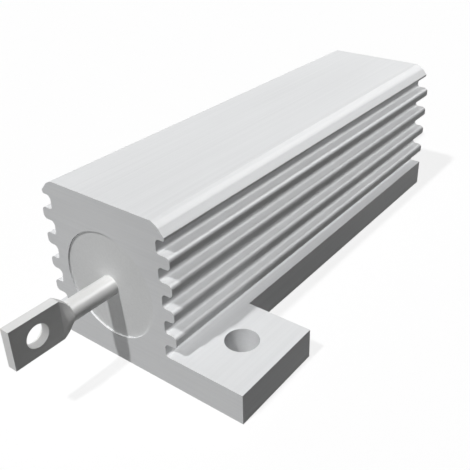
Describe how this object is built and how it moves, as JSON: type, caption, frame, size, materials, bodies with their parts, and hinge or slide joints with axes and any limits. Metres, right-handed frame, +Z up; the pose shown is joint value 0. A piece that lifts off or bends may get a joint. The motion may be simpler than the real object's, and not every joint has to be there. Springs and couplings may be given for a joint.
{
  "type": "aluminium housed wirewound resistor",
  "caption": "Chassis-mount power resistor: ribbed aluminium extrusion on a flat base with diagonal mounting tabs, a silicone-filled round bore and a flattened solder lug at each end.",
  "frame": {"origin": "centre of the mounting face, on the surface that the resistor is bolted to", "axes": "+Z up from the mounting face, +Y along the extrusion towards the rear terminal, +X across it towards the side of the front tab"},
  "size_m": [0.03, 0.0724, 0.017],
  "materials": {
    "anodised_aluminium": "clear anodised, smooth satin",
    "silicone_compound": "matt moulded grey",
    "steatite": "unglazed, ground",
    "resistance_alloy": "drawn and rolled",
    "stainless_steel": "pressed",
    "tinned_copper": "tinned, satin"
  },
  "bodies": {
    "root": {"housing": "anodised_aluminium", "silicone_moulding": "silicone_compound", "ceramic_core": "steatite", "resistance_winding": "resistance_alloy", "front_end_cap": "stainless_steel", "rear_end_cap": "stainless_steel", "front_terminal": "tinned_copper", "rear_terminal": "tinned_copper"}
  },
  "joints": []
}
